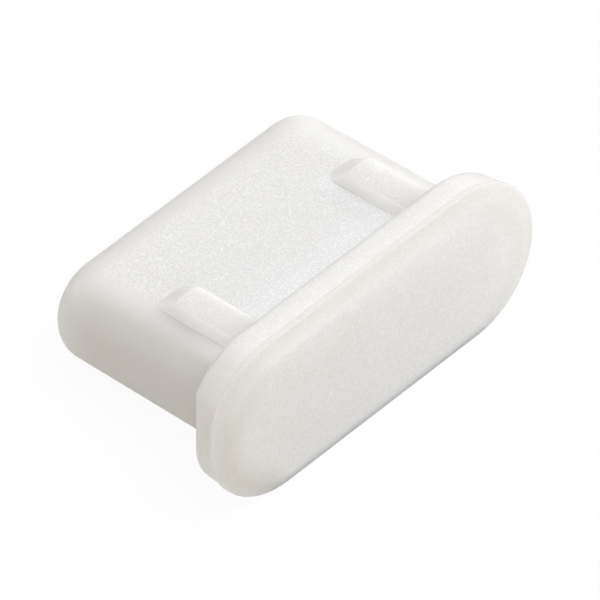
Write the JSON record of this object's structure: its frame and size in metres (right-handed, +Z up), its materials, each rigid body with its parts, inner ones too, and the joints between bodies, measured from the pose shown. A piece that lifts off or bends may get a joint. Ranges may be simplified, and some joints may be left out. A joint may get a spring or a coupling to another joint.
{
  "type": "usb port cap",
  "caption": "Soft translucent white dust cap: a slotted plug with raised grip pads fills a small reversible data port, and an oval flange closes its mouth.",
  "frame": {"origin": "middle of the cap's box on the surface it lies on: the flange's rim and the tip's lower edge touch it", "axes": "+X along the flange's width; +Y the way the plug points, whose own axis leans below +Y by the resting lean; +Z up"},
  "size_m": [0.01, 0.0064, 0.004],
  "materials": {
    "soft_plastic": "translucent white, fine spark-eroded grain with small glints"
  },
  "bodies": {
    "root": {"port_cap": "soft_plastic"}
  },
  "joints": []
}
